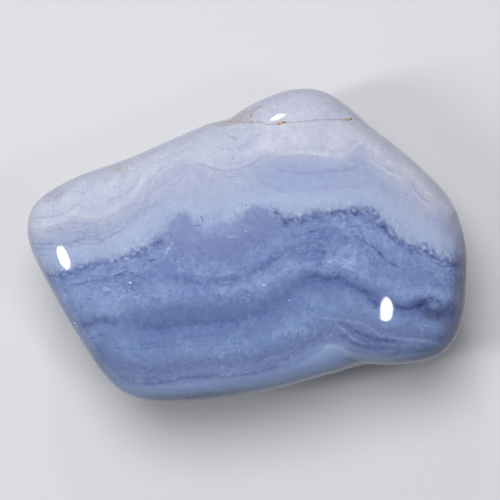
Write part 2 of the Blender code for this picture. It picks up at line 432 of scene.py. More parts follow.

# %% [markdown]
# ## Painted shade at the rim
# The real stone's rim lies in shade, most of all at the side away from the light. The pale
# floor lights the rim from below and would hide that, so the shade is painted into the colour,
# which deepens as the surface turns away from upright.

# %% Paint shade at the rim
RIM_SHADE_UPRIGHT = 0.25             # loss of light where the surface stands upright
RIM_SHADE_AWAY_SIDE = 0.40        # further loss at the side away from the light
SHADED = (0.45, -0.90)    # where that side faces, across and up the picture
FACES_UP = (-0.7, 0.0, 0.4, 0.8, 1.0)   # 0 where the surface is upright and 1 where it is level
TURNED = (0.4, 1.0, 0.8, 0.2, 0.0)      # share of both losses there

normals = read_points("normal")
turned = np.interp(normals[:, 2], FACES_UP, TURNED)
# painted shade: darker where the surface turns from upright, most of all on the side away from the
# light
painted_rim_shade = turned * (RIM_SHADE_UPRIGHT + RIM_SHADE_AWAY_SIDE * np.clip(normals[:, :2] @ SHADED, 0, 1))
add_values("painted_rim_shade", painted_rim_shade)
deepest_painted_shade = painted_rim_shade.max()
print("deepest loss of light:", deepest_painted_shade.round(2))

# %% [markdown]
# ## The fracture
# A healed crack crosses the lobe. Iron got in, so it is a brown hairline with rusty beads.
# It is a plane through the stone. The points keep their distance from it, on which side they
# are with it, because a hairline drawn from such a distance is far thinner than the mesh.

# %% Measure the distance from the fracture
NOWHERE = 9.0             # kept as the distance where no line is near
FRACTURE = (
    (190, 128), (230, 121), (252, 122.5), (258, 121.7), (263, 123), (269, 124.6), (276, 124),
    (286, 122.3), (299, 121.7), (321, 119.5), (345, 119.5), (362, 119.3), (400, 122))
crack_across, crack_down = np.array(FRACTURE, float).T
crack = (np.interp(across, crack_across, crack_down) - down) * PIXEL
crack = np.where((across < FRACTURE[0][0]) | (across > FRACTURE[-1][0]), NOWHERE, crack)
add_values("crack", crack)
print("points near the fracture:", int((np.abs(crack) < 0.3).sum()))

# %% [markdown]
# ## Seams and threads
# Where a layer stopped growing for a while it kept a dark seam, and where quartz crept along a
# layer it left a pale thread. The larger ones have places of their own that no noise would
# find, so each is a line drawn through a few places that were read off the photograph. Every
# point keeps how far it is from the nearest one, counted in half widths of that line, and how
# much darker or lighter the line is.

# %% Draw the dark seams
# name, half width in pixels, shade, which is negative where the line is darker than the stone
# beside it, and the places that it runs through
SEAMS = (
    ("fringe, right", 3.2, -0.36, (
        (274, 207), (279, 216), (285, 220), (296, 219), (304, 218), (314, 214), (322, 217),
        (330, 212), (340, 210), (349, 207), (357, 211), (368, 210), (376, 215), (382, 221),
        (388, 229), (395, 238), (402, 243), (412, 249), (416, 250), (421, 246), (428, 247),
        (432, 252), (434, 257), (442, 261), (452, 264), (462, 266))),
    ("fringe, left", 3.2, -0.26, (
        (46, 277), (56, 276), (66, 274), (76, 271), (85, 265), (97, 263), (110, 263), (122, 257),
        (134, 253), (146, 249), (156, 244), (163, 237))),
    ("eye of the fringe", 1.8, -0.42, ((288, 216), (293, 217))),
    ("under the left fringe", 0.9, -0.42, (
        (74, 284), (82, 283), (92, 281), (107, 279), (116, 275), (127, 271), (133, 274),
        (139, 277))),
    ("hook", 0.8, -0.40, ((143, 270), (143, 265), (147, 261), (155, 259), (162, 258))),
    ("round the glint", 3.6, -0.26, ((124, 287), (131, 288), (138, 284))),
    ("loop at the left", 1.4, -0.22, (
        (99, 287), (104, 284), (110, 286), (111, 291), (105, 294), (100, 292), (99, 287))),
    ("small loop", 0.8, -0.34, (
        (197, 217), (195.5, 221), (197, 225), (201, 225), (203, 221), (201.5, 217), (197, 217))),
    ("knot at the left", 2.6, -0.26, (
        (82, 326), (90, 324), (96, 319), (103, 318), (109, 322), (114, 324), (119, 319))),
    ("under the knot", 0.9, -0.30, ((89, 338), (95, 338), (101, 334), (107, 333))),
    ("long thin one", 0.9, -0.18, (
        (97, 351), (107, 349), (118, 348), (127, 348), (140, 349), (156, 347), (167, 346))),
    ("thin one above it", 0.9, -0.14, ((138, 343), (150, 343), (160, 342))),
    ("thin one further right", 0.9, -0.15, ((172, 339), (188, 337), (200, 336), (214, 335))),
    ("second ribbon", 3.0, -0.25, (
        (170, 276), (186, 280), (202, 282), (220, 280), (240, 277), (256, 272), (268, 265),
        (278, 256), (288, 249), (300, 248), (312, 249), (330, 252))),
    ("dashes under the ribbon", 1.0, -0.30, ((200, 286), (212, 284), (223, 285), (234, 283))),
    ("dashes of the darkest band", 2.6, -0.20, (
        (139, 328), (147, 326), (157, 327), (168, 327), (177, 324), (188, 323), (200, 322),
        (209, 323), (217, 322), (225, 321), (238, 321), (250, 316), (262, 313), (269, 313))),
    ("edge of the darkest band", 2.8, -0.34, (
        (305, 277), (316, 275), (330, 278), (338, 277), (343, 280), (350, 285), (356, 289),
        (363, 290), (368, 292), (371, 297), (375, 303), (380, 306))),
    ("dashes above the lower pale", 1.4, -0.22, (
        (140, 384), (151, 384), (161, 382), (171, 381), (180, 378), (192, 377), (226, 376),
        (246, 374), (264, 370), (281, 365))),
    ("second line at the right", 1.1, -0.35, (
        (355, 236), (363, 240), (372, 246), (380, 254), (386, 260), (398, 267))),
    ("short ones in the middle", 1.0, -0.34, ((306, 233), (314, 231), (319, 229))),
    ("flat one in the middle", 1.0, -0.34, ((312, 238), (322, 238), (331, 239))),
    ("smoky vein", 1.7, -0.42, (
        (394, 304), (399, 307), (405, 309), (411, 308), (416, 305), (421, 306), (424, 303),
        (427, 298), (430, 297), (436, 299), (441, 301))),
    ("smoky knot", 3.0, -0.55, ((413, 306), (419, 306), (425, 304))),
    ("smoky knot below", 3.0, -0.42, ((427, 311), (431, 314), (437, 314), (442, 318))),
    ("brown hook", 2.4, -0.30, ((445, 313), (448, 306), (451, 301))),
    ("fold, first", 2.2, -0.32, ((337, 320), (344, 324), (350, 329), (357, 333))),
    ("fold, second", 2.3, -0.40, (
        (337, 321), (351, 328), (363, 334), (375, 339), (390, 340.5), (399, 342))),
    ("fold, third", 2.5, -0.34, (
        (339, 335), (351, 342), (365, 346), (375, 348), (393, 347), (402, 350))),
    ("under the pale lip", 1.3, -0.36, ((344, 358), (355, 361.6), (363, 364))),
    ("fold, last", 1.1, -0.24, ((404, 356), (410, 354), (417, 352), (430, 350))),
    ("left grey line", 0.8, -0.24, (
        (29, 244), (45, 244), (58, 243), (70, 243), (78, 240), (85, 238), (94, 238), (102, 239),
        (110, 236), (118, 232), (128, 226))),
    ("left grey line above", 0.7, -0.18, ((74, 236), (83, 234), (93, 237), (104, 232))),
    ("left grey line below", 0.7, -0.18, (
        (30, 250), (46, 249), (62, 249), (76, 246), (84, 244), (93, 244), (107, 240))),
    ("left grey line, lowest", 0.7, -0.14, ((36, 255), (50, 255))),
    ("left grey line, upper", 0.6, -0.14, (
        (44, 228), (56, 226), (70, 222), (84, 224), (98, 222), (112, 216), (124, 210))),
    ("left grey line above it", 0.6, -0.12, ((60, 238), (74, 232), (86, 230), (102, 229))),
    ("mauve streaks", 1.4, -0.14, ((42, 232), (53, 230), (66, 228))),
    ("over the white wave", 0.8, -0.16, (
        (34, 218), (49, 217), (60, 215), (67, 212), (73, 206), (77, 204), (83, 208), (88, 212))),
    ("near the left rim", 0.9, -0.16, ((43, 202), (53, 200), (57, 197), (64, 191))),
    ("left of the bowl", 0.9, -0.14, (
        (96, 206), (105, 202), (116, 198), (127, 193), (134, 187), (138, 180), (142, 172))),
    ("bowl", 1.1, -0.10, (
        (196, 162), (207, 167), (218, 170), (231, 171), (244, 167), (253, 163), (262, 157))),
    ("under the bowl", 0.7, -0.14, ((212, 172), (220, 175), (228, 177), (241, 176))),
    ("bowl in the cream", 0.8, -0.13, (
        (212, 146), (222, 149), (232, 150), (242, 147), (250, 142), (256, 137), (266, 131))),
    ("under the lobe", 1.2, -0.11, (
        (272, 166), (284, 171), (295, 173), (306, 173), (316, 172), (327, 171), (338, 171),
        (348, 169), (359, 166), (365, 162))),
    ("foot of the lavender", 1.6, -0.07, (
        (256, 174), (260, 179), (266, 184.5), (278, 189.5), (292, 191.5), (308, 191), (320, 188.5),
        (328, 186.5), (340, 186.5), (355, 186.5), (368, 182.5))),
    ("mottles under the lobe", 1.2, -0.12, ((300, 155), (311, 156), (322, 157))),
    ("right cream, first", 0.9, -0.15, ((375, 161), (384, 166), (391, 170), (398, 172))),
    ("right cream, second", 0.9, -0.18, ((411, 181), (415, 190), (421, 197), (429, 203))),
    ("smudge at the right", 1.1, -0.16, ((384, 145), (388, 148))),
)
print("seams:", len(SEAMS))

# %% Draw the stains and the pale threads
# the same for stains of iron, which are redder, and for pale threads, which are positive
STAINS = (
    ("hair of iron", 0.7, -0.34, (
        (265.5, 106.7), (260.7, 106), (256.5, 107.3), (253, 111.5), (251.7, 115.7), (248, 119))),
    ("crack left of the notch", 0.8, -0.16, ((212, 126), (222, 125.5), (227, 123), (230.6, 121))),
    ("streaks at the rim", 1.8, -0.14, ((444, 336), (450, 330), (454, 322))),
    ("streak above them", 1.3, -0.14, ((449, 318), (452, 309), (452, 300))),
    ("rusty threads in the cream", 0.8, -0.16, ((111, 172), (118, 169), (124, 166))),
    ("rusty thread by the ring", 0.7, -0.18, ((122, 172), (126, 171), (127, 166))),
)
THREADS = (
    ("white wave", 2.4, 0.13, (
        (27, 226), (40, 226), (55, 222), (65, 217), (74, 213), (86, 216), (96, 216), (106, 213),
        (116, 208), (126, 201), (135, 192), (142, 182), (149, 174), (158, 167))),
    ("edge of the wave", 1.2, 0.10, (
        (150, 189), (155, 178), (161, 172), (170, 167), (185, 162), (202, 162), (217, 166),
        (229, 167), (240, 165), (254, 160))),
    ("scallops under the lobe", 1.9, 0.13, (
        (246, 155), (256, 148), (262, 145), (268, 147), (275, 152), (284, 153), (295, 152),
        (306, 152), (316, 154), (327, 156), (336, 156), (343, 155), (349, 152), (353, 148),
        (358, 143), (364, 142), (369, 149))),
    ("right cream, upper", 2.1, 0.14, (
        (358, 135), (366, 139), (371, 145), (376, 151), (380, 157), (386, 161), (400, 166),
        (408, 170), (414, 176), (419, 183), (424, 189), (431, 195), (438, 202), (446, 208))),
    ("right cream, lower", 1.5, 0.15, (
        (368, 159), (375, 164), (382, 168), (389, 174), (397, 177), (404, 179))),
    ("right cream, last", 1.3, 0.16, ((413, 191), (418, 197), (424, 202), (431, 207), (439, 213))),
    ("white by the notch", 1.1, 0.22, ((226, 130), (234, 126), (246, 125))),
    ("beads of the fringe", 1.7, 0.30, (
        (283, 214), (288, 221), (294, 222), (299, 219), (300, 215), (296, 213))),
    ("beads further right", 1.5, 0.23, (
        (312, 217), (319, 214), (326, 217), (345, 217), (353, 215))),
    ("beads at the right", 1.4, 0.18, ((384, 232), (392, 243), (400, 248), (411, 253))),
    ("edge under the beads", 1.1, 0.22, (
        (286, 251), (292, 250), (300, 248), (306, 250), (312, 248))),
    ("over the darkest band", 1.1, 0.22, (
        (306, 277), (315, 274), (325, 270), (334, 267), (345, 266), (355, 269))),
    ("over the left line", 0.9, 0.18, ((72, 280), (84, 278), (92, 277))),
    ("left curl", 0.9, 0.23, (
        (115, 307), (117, 301), (120, 297), (128, 294), (132, 298), (139, 297), (144, 291),
        (151, 290))),
    ("light line, middle", 1.2, 0.16, (
        (343, 248), (352, 246), (361, 252), (367, 246), (374, 250))),
    ("scallop on the darkest band", 1.3, 0.28, (
        (321.6, 273), (325, 276.6), (330.6, 277), (335.4, 274), (337, 269.4))),
    ("veil over it", 1.4, 0.24, (
        (325, 260), (332, 262), (335, 268), (347, 267), (356.5, 269.4), (361.3, 276.6),
        (368, 281))),
    ("net, first vein", 1.3, 0.24, (
        (351.6, 262), (354, 256), (360, 252.6), (366, 245.4), (367.3, 241.7))),
    ("net, second vein", 1.2, 0.22, ((355, 244), (356.5, 250), (354, 256))),
    ("net, third vein", 1.3, 0.22, ((366, 245.4), (371, 247.8), (375.7, 255), (380.5, 258.6))),
    ("net, fourth vein", 1.2, 0.22, ((360, 252.6), (365, 257.4), (368.5, 262), (367.3, 268))),
    ("net, last vein", 1.2, 0.20, ((339.6, 257.4), (349.2, 262.2), (356.5, 267))),
    ("over the left seam", 1.2, 0.24, ((71, 283), (93.7, 281), (110.5, 276.4), (126, 267.5))),
    ("beads of the left fringe", 1.5, 0.34, (
        (98, 267), (104.5, 265.7), (112, 265.7), (118, 262), (125, 259), (131, 260), (138, 256))),
    ("wisp by the mauve", 1.3, 0.26, ((173, 240), (171, 247), (166, 254), (163, 262))),
    ("arc at the left", 1.2, 0.26, ((94, 296), (98, 290), (106, 288), (113, 292), (117, 299))),
    ("fold, light first", 1.5, 0.30, (
        (321, 317), (337, 319.5), (349, 321), (361, 323), (368, 327), (375, 331), (382, 337),
        (399, 339), (417, 339), (429, 341), (441, 346))),
    ("fold, light second", 1.4, 0.32, (
        (331, 334), (333, 330), (337, 325.5), (343, 329), (349, 335), (355, 340), (361, 342),
        (368, 346))),
    ("beads over the ribbon", 1.5, 0.20, (
        (180, 270), (192, 272), (204, 275), (218, 274), (230, 272))),
    ("flecks in the mauve", 1.1, 0.26, ((226, 236), (238, 236))),
    ("pale lip", 1.9, 0.32, (
        (322, 347), (332, 345), (339, 347), (346, 352), (355, 355.6), (369, 358), (382, 359),
        (392, 359), (404, 355.6), (417, 353))),
    ("pale lip below", 0.9, 0.18, ((343, 357), (349, 360), (359, 364))),
    ("curl near the foot", 1.2, 0.18, (
        (264, 366), (266, 360), (271, 357), (277, 358), (281, 362))),
    ("curl beside it", 0.9, 0.18, ((283, 352), (288, 350), (291, 354), (292, 360))),
    ("curls at the foot", 0.9, 0.16, ((222, 364), (224, 371), (228, 375), (234, 370), (239, 372))),
    ("ring", 0.8, 0.14, (
        (137, 164), (136, 168), (133, 169), (129, 168), (128, 164), (130, 161), (133, 160),
        (136, 161), (137, 164))),
)
print("stains:", len(STAINS), "threads:", len(THREADS))

# %% Measure the distance from the lines
STEP = 0.8                # pixels from one step along a line to the next
ROUNDED = 0.35            # share by which each step moves to the middle of its neighbours
TAPER = 5.0               # pixels over which a line fades at its ends
RUN_ON = 1.5              # pixels of that fade that lie beyond its ends
REACH_OF_LINES = 7.0      # pixels at which a point no longer belongs to a line
RIVALS = 2.5              # pixels over which the nearer of two lines wins


def nearest_lines(lines):
    """For each point its distance from the nearest line, in half widths, and that line's shade."""
    distance = np.full(len(across), NOWHERE)
    shade = np.zeros(len(across))
    strongest = np.zeros(len(across))
    for _, half_width, depth, points in lines:
        corners = np.array(points, float)
        length = np.append(0.0, np.cumsum(np.hypot(*np.diff(corners, axis=0).T)))
        steps = np.linspace(0.0, length[-1], int(length[-1] / STEP) + 2)
        path = np.column_stack([np.interp(steps, length, corners[:, i]) for i in (0, 1)])
        inner = ((steps > 0) & (steps < steps[-1]))[:, None]
        path = path + ROUNDED * (np.roll(path, 1, 0) + np.roll(path, -1, 0) - 2 * path) * inner
        along = np.gradient(path, axis=0)
        along = along / np.hypot(*along.T)[:, None]
        low, high = path.min(axis=0) - REACH_OF_LINES, path.max(axis=0) + REACH_OF_LINES
        close = np.flatnonzero((seen > low).all(axis=1) & (seen < high).all(axis=1))
        if not len(close):
            continue
        from_path = seen[close][:, None] - path[None]
        nearest = (from_path ** 2).sum(axis=2).argmin(axis=1)
        offset = from_path[np.arange(len(close)), nearest]
        aside = offset[:, 0] * along[nearest, 1] - offset[:, 1] * along[nearest, 0]
        away = np.hypot(*offset.T)
        ends = np.minimum(steps, steps[-1] - steps)[nearest]
        here = np.clip((ends + RUN_ON) / TAPER, 0, 1) * np.clip(REACH_OF_LINES - away, 0, 1)
        weight = here * np.exp(-0.5 * (away / RIVALS) ** 2)
        wins = weight > strongest[close]
        chosen = close[wins]
        strongest[chosen] = weight[wins]
        distance[chosen] = (np.sign(aside) * away / half_width)[wins]
        shade[chosen] = (depth * here)[wins]
    return distance, shade


seen = np.column_stack((across, down))
for name, lines in (("seam", SEAMS), ("stain", STAINS), ("thread", THREADS)):
    distance, shade = nearest_lines(lines)
    add_values(name, distance)
    add_values(name + "_shade", shade)
    print("points on a", name + ":", int((np.abs(distance) < 1).sum()))

# %% [markdown]
# ## The polish
# Chalcedony is quartz in threads too fine to see, so light goes a millimetre into it before
# it comes back, and the layers look soft and slightly deep. The tumbler leaves a clear gloss.

# %% Start the material
MIXED = 2                 # the colour output of a Mix node
# to the eye: milky and a little deep, with soft colours and small sharp highlights, as wet glass
polish = bpy.data.materials.new("chalcedony, tumble polished")
polish.use_nodes = True
tree = polish.node_tree
shader = tree.nodes["Principled BSDF"]
place = add_node(tree, "ShaderNodeTexCoord", {}).outputs["Object"]
in_mm = add_node(tree, "ShaderNodeVectorMath", {"operation": "SCALE", 0: place, "Scale": 1 / MM})
growth = add_node(tree, "ShaderNodeAttribute", {"attribute_name": "growth"}).outputs["Fac"]
pace = add_node(tree, "ShaderNodeAttribute", {"attribute_name": "pace"}).outputs["Fac"]
raggedness = add_node(tree, "ShaderNodeAttribute", {"attribute_name": "ragged"}).outputs["Fac"]
threaded = add_node(tree, "ShaderNodeAttribute", {"attribute_name": "threaded"}).outputs["Fac"]
print("nodes at the start:", len(tree.nodes))

# %% [markdown]
# ## Frayed layers
# The name blue lace comes from the edges of the layers, which look crocheted. A layer ended in
# rows of tiny round tufts 0.3 to 0.6 mm wide. So the layer number of a place is shifted, by
# noise for the uneven edge and by soft round cells for the tufts. The shift is in millimetres,
# and the pace, in layers per millimetre, turns it into layer numbers.

# %% Fray the layers
TUFT = 0.36               # width of a tuft, in millimetres
TUFTS = (1.8, -0.75)      # how far they reach, and what sets them evenly about the edge
LOBE = 0.65               # width of the larger lobes that the tufts sit on
LOBES = 3.0               # how far those reach, as a multiple of the layer's raggedness

fray = add_node(tree, "ShaderNodeTexNoise", {
    "Vector": in_mm, "Scale": 1 / LOBE, "Detail": 4.0, "Roughness": 0.62})
fray = add_node(tree, "ShaderNodeMath", {"operation": "SUBTRACT", 0: fray, 1: 0.5})
tufts = add_node(tree, "ShaderNodeTexVoronoi", {
    "Vector": in_mm, "Scale": 1 / TUFT, "feature": "SMOOTH_F1", "Smoothness": 0.15})
tufts = add_node(tree, "ShaderNodeMath", {
    "operation": "MULTIPLY_ADD", 0: tufts, 1: TUFTS[0], 2: TUFTS[1]})
shift = add_node(tree, "ShaderNodeMath", {
    "operation": "MULTIPLY_ADD", 0: fray, 1: LOBES, 2: tufts})
shift = add_node(tree, "ShaderNodeMath", {"operation": "MULTIPLY", 0: shift, 1: raggedness})
layer = add_node(tree, "ShaderNodeMath", {
    "operation": "MULTIPLY_ADD", 0: shift, 1: pace, 2: growth})
print("tufts to a millimetre:", round(1 / TUFT, 1))

# %% [markdown]
# ## The layers' colours
# Milky layers are packed with tiny bubbles and look cream. Clear ones scatter only blue light,
# as the sky does, and look blue. A colour ramp holds a colour for each layer number and blends
# between them. Some layers end abruptly, so the ramp has more colours close to those edges.

# %% Colour the layers
BETWEEN = (                # colours between two layers, where one ends abruptly
    (2.75, "#afb3c7"), (5.75, "#98a5c3"), (6.2, "#8d99bb"),
    (10.6, "#697aa6"), (11.25, "#677aa8"), (15.6, "#8193bc"),
)
last = len(LAYERS) - 1
part = add_node(tree, "ShaderNodeMath", {"operation": "DIVIDE", 0: layer, 1: float(last)})
ramp = add_node(tree, "ShaderNodeValToRGB", {"Fac": part})
stops = [(i, layer_row[1]) for i, layer_row in enumerate(LAYERS)] + list(BETWEEN)
elements = ramp.color_ramp.elements
while len(elements) < len(stops):
    elements.new(0.5)
for element, (at, colour) in zip(elements, sorted(stops)):
    element.position = at / last
    element.color = linear(colour)
print("colours in the ramp:", len(elements))

# %% [markdown]
# ## The clouds over the layers
# The clouds lie on the points as a colour with its cover. A Mix node lays them over the ramp.
# The same noise that frays the layers breaks up the cover, so a cloud has no airbrushed edge.

# %% Lay the clouds over them
PATCHY = (0.6, 1.25)      # factors of a cloud's cover, where the noise is low and high
cloud = add_node(tree, "ShaderNodeAttribute", {"attribute_name": "clouds"})
breaks = add_node(tree, "ShaderNodeMapRange", {
    "Value": fray, "From Min": -0.15, "From Max": 0.15,
    "To Min": PATCHY[0], "To Max": PATCHY[1]})
cover_at = add_node(tree, "ShaderNodeMath", {
    "operation": "MULTIPLY", "use_clamp": True, 0: cloud.outputs["Alpha"], 1: breaks})
colour = add_node(tree, "ShaderNodeMix", {
    "data_type": "RGBA", 0: cover_at, 6: ramp, 7: cloud.outputs["Color"]}).outputs[MIXED]
print("clouds:", len(CLOUDS))

# %% [markdown]
# ## Lace
# Inside a layer the lace shows as pale and dark threads about 0.1 mm wide, which wander along
# the layer and curl round the tufts. A thread is the place where a stretched noise crosses its
# middle value, and the noise is read at a shifted place so that the threads curl. They come
# and go in patches a few millimetres wide.

# %% Spin the lace
LAYER_DEPTH = 1.05        # millimetres from one layer's line to the next, on average
THREAD_SPACING = (2.2, 0.75, 2.2)   # of the noise, along, through and along the layer, in mm
CURL = 0.30               # how far a thread wanders, in millimetres
CURL_WIDTH = 0.7          # and over what length
FULL_CURL = 4.0           # the noise, drawn out so that it reaches from -1 to 1
PATCH = 2.6               # width of the patches in which threads show
PATCH_EDGE = (0.42, 0.58)   # noise at which threads are hidden and at which they show in full

wander = add_node(tree, "ShaderNodeTexNoise", {
    "Vector": in_mm, "Scale": 1 / CURL_WIDTH, "Detail": 2.0, "Roughness": 0.55})
wander = add_node(tree, "ShaderNodeMath", {
    "operation": "MULTIPLY_ADD", 0: wander, 1: FULL_CURL, 2: -FULL_CURL / 2})
wander = add_node(tree, "ShaderNodeMath", {"operation": "ADD", 0: wander, 1: tufts})
wander = add_node(tree, "ShaderNodeMath", {"operation": "MULTIPLY", 0: wander, 1: CURL})
through = add_node(tree, "ShaderNodeMath", {
    "operation": "MULTIPLY_ADD", 0: growth, 1: LAYER_DEPTH, 2: wander})
axes = add_node(tree, "ShaderNodeSeparateXYZ", {"Vector": in_mm})
in_layer = add_node(tree, "ShaderNodeCombineXYZ", {
    "X": axes.outputs["X"], "Y": through, "Z": axes.outputs["Z"]})

# where each noise starts, how near its middle value a thread lies, and the thread's shade
STRANDS = (((0, 0, 0), 0.030, 0.30), ((7, 3, 5), 0.022, -0.26))
lace = []
for start, width, shade in STRANDS:
    strand = add_node(tree, "ShaderNodeVectorMath", {"operation": "ADD", 0: in_layer, 1: start})
    strand = add_node(tree, "ShaderNodeVectorMath", {
        "operation": "DIVIDE", 0: strand, 1: THREAD_SPACING})
    strand = add_node(tree, "ShaderNodeTexNoise", {
        "Vector": strand, "Scale": 1.0, "Detail": 2.0, "Roughness": 0.55})
    strand = add_node(tree, "ShaderNodeMath", {"operation": "SUBTRACT", 0: strand, 1: 0.5})
    strand = add_node(tree, "ShaderNodeMath", {"operation": "ABSOLUTE", 0: strand})
    strand = add_node(tree, "ShaderNodeMapRange", {
        "Value": strand, "From Min": 0.0, "From Max": width, "To Min": shade, "To Max": 0.0})
    patch = add_node(tree, "ShaderNodeVectorMath", {"operation": "ADD", 0: in_mm, 1: start})
    patch = add_node(tree, "ShaderNodeTexNoise", {
        "Vector": patch, "Scale": 1 / PATCH, "Detail": 2.0, "Roughness": 0.6})
    patch = add_node(tree, "ShaderNodeMapRange", {
        "Value": patch, "From Min": PATCH_EDGE[0], "From Max": PATCH_EDGE[1],
        "To Min": 0.0, "To Max": 1.0})
    lace.append(add_node(tree, "ShaderNodeMath", {"operation": "MULTIPLY", 0: strand, 1: patch}))
lace = add_node(tree, "ShaderNodeMath", {"operation": "ADD", 0: lace[0], 1: lace[1]})
print("kinds of thread:", len(STRANDS))

# %% [markdown]
# ## Loops and curds
# Between the threads the lace closes to loops: a pale outline 0.1 mm wide round a tuft of its
# own shade, 0.5 to 0.8 mm across. The walls between the cells of a Voronoi pattern are such a
# net, once its places are shifted by noise so that the walls bend.

# %% Crochet the loops
LOOP = 0.62               # width of a loop, in millimetres
LOOP_THREAD = 0.08        # half width of its outline
LOOP_BEND = 1.1           # how far its outline bends
BEND_WIDTH = 0.7          # and over what length
LOOP_PATCH = 1.6          # width of the patches in which loops show
LOOP_PATCH_START = (3, 9, 1)   # loops have other patches than threads
LOOP_PATCH_EDGE = (0.41, 0.60)
LOOP_SQUEEZE = (0.75, 1.0, 0.75)   # loops are wider along the layer than through it
LOOP_PALE = 0.22          # how much paler its outline is, and how much darker its inside
LOOP_DARK = -0.03
OWN_SHADES = 0.26         # how far loops differ from each other in shade
LOOP_MEAN = 0.15          # mean shade of all that, taken off so that the stone keeps its own

bend = add_node(tree, "ShaderNodeTexNoise", {
    "Vector": in_mm, "Scale": 1 / BEND_WIDTH, "Detail": 3.0, "Roughness": 0.6}).outputs["Color"]
flat = add_node(tree, "ShaderNodeVectorMath", {
    "operation": "MULTIPLY", 0: in_layer, 1: LOOP_SQUEEZE})
bent = add_node(tree, "ShaderNodeVectorMath", {
    "operation": "MULTIPLY_ADD", 0: bend, 1: (LOOP_BEND, LOOP_BEND, LOOP_BEND), 2: flat})
walls = add_node(tree, "ShaderNodeTexVoronoi", {
    "Vector": bent, "Scale": 1 / LOOP, "feature": "DISTANCE_TO_EDGE"})
walls = add_node(tree, "ShaderNodeMapRange", {
    "Value": walls, "From Min": 0.0, "From Max": 2 * LOOP_THREAD / LOOP,
    "To Min": LOOP_PALE, "To Max": LOOP_DARK})
own_shade = add_node(tree, "ShaderNodeTexVoronoi", {
    "Vector": bent, "Scale": 1 / LOOP}).outputs["Color"]
loops = add_node(tree, "ShaderNodeMath", {
    "operation": "MULTIPLY_ADD", 0: own_shade, 1: OWN_SHADES, 2: walls})
loops = add_node(tree, "ShaderNodeMath", {"operation": "SUBTRACT", 0: loops, 1: LOOP_MEAN})
where = add_node(tree, "ShaderNodeVectorMath", {
    "operation": "ADD", 0: in_mm, 1: LOOP_PATCH_START})
where = add_node(tree, "ShaderNodeTexNoise", {
    "Vector": where, "Scale": 1 / LOOP_PATCH, "Detail": 3.0, "Roughness": 0.6})
where = add_node(tree, "ShaderNodeMapRange", {
    "Value": where, "From Min": LOOP_PATCH_EDGE[0], "From Max": LOOP_PATCH_EDGE[1],
    "To Min": 0.0, "To Max": 1.0})
loops = add_node(tree, "ShaderNodeMath", {"operation": "MULTIPLY", 0: loops, 1: where})
lace = add_node(tree, "ShaderNodeMath", {"operation": "ADD", 0: lace, 1: loops})
print("loops to a centimetre:", round(10 / LOOP))

# %% [markdown]
# ## Curds, broad shades and grain
# Between the loops the stone is curdled: milky specks half a millimetre wide, and broader
# streaks along the layer. Under all of it lies the grain of the quartz threads. Each is a
# noise of its own real width. They change the colour by a share of it and more in red than in
# blue, because milk in the stone hides the blue.

# %% Curds, broad shades and grain
MILKY = (1.20, 1.05, 0.60)   # where the stone is milkier it gains red more than blue
STREAKS = (2.86, 0.91, 2.86)   # width of the streaks along, through and along the layer, in mm
STREAK_SHADE = 0.8        # share of the colour that streaks, curds and grain change
CURD = 0.45               # width of a curd, in millimetres
CURD_SHADE = 0.78
# the quartz threads are far finer than a pixel, so their grain is drawn 0.1 mm wide to show
GRAIN = 0.1
GRAIN_SHADE = 0.3

streaks = add_node(tree, "ShaderNodeVectorMath", {
    "operation": "DIVIDE", 0: in_layer, 1: STREAKS})
streaks = add_node(tree, "ShaderNodeTexNoise", {
    "Vector": streaks, "Scale": 1.0, "Detail": 3.0, "Roughness": 0.6})
streaks = add_node(tree, "ShaderNodeMath", {"operation": "SUBTRACT", 0: streaks, 1: 0.5})
curds = add_node(tree, "ShaderNodeTexNoise", {
    "Vector": in_mm, "Scale": 1 / CURD, "Detail": 4.0, "Roughness": 0.65})
curds = add_node(tree, "ShaderNodeMath", {"operation": "SUBTRACT", 0: curds, 1: 0.5})
inside = add_node(tree, "ShaderNodeMath", {
    "operation": "MULTIPLY_ADD", 0: streaks, 1: STREAK_SHADE, 2: lace})
inside = add_node(tree, "ShaderNodeMath", {
    "operation": "MULTIPLY_ADD", 0: curds, 1: CURD_SHADE, 2: inside})
inside = add_node(tree, "ShaderNodeMath", {"operation": "MULTIPLY", 0: inside, 1: threaded})
grain = add_node(tree, "ShaderNodeTexNoise", {
    "Vector": in_mm, "Scale": 1 / GRAIN, "Detail": 2.0, "Roughness": 0.6})
grain = add_node(tree, "ShaderNodeMath", {"operation": "SUBTRACT", 0: grain, 1: 0.5})
milk = add_node(tree, "ShaderNodeMath", {
    "operation": "MULTIPLY_ADD", 0: grain, 1: GRAIN_SHADE, 2: inside})
milk = add_node(tree, "ShaderNodeVectorMath", {
    "operation": "MULTIPLY_ADD", 0: milk, 1: MILKY, 2: (1, 1, 1)})
colour = add_node(tree, "ShaderNodeVectorMath", {"operation": "MULTIPLY", 0: colour, 1: milk})
print("nodes with the lace:", len(tree.nodes))

# %% [markdown]
# ## Seams and threads in the material
# A point knows how many half widths it lies from the nearest line, so the line is where that
# number is below one. Noise and tufts are added to the number first, which frays the line's
# edges, and a finer noise breaks it into beads. Both are weaker in the smooth cream layers,
# whose lines run on unbroken.

# %% Lay the seams and threads over the lace
WOBBLE = 4.0              # how far noise moves a line's edge, in its half widths
CURDLED = 2.0             # the same for the curds
SOFT_EDGE = (0.3, 1.7)    # half widths at which a line starts to fade and is gone
BREAKS = 0.28             # length of the beads that a line breaks into, in millimetres
BEADS = (0.15, 1.0)       # strength of the line between two beads and in a bead
ROUND_TUFTS = (0.25, 1.25)   # and as a factor of it, in the middle of a tuft and round it
WHOLE = 0.85              # strength of a line that isn't broken
LOOSE = (0.06, 0.22)      # raggedness of layers whose lines are calm and broken, in mm
# iron takes blue away from a seam, and a rust stain takes blue away most of all
LINE_TINTS = {"seam": (1.15, 1.05, 0.72), "stain": (0.8, 1.05, 1.3), "thread": MILKY}

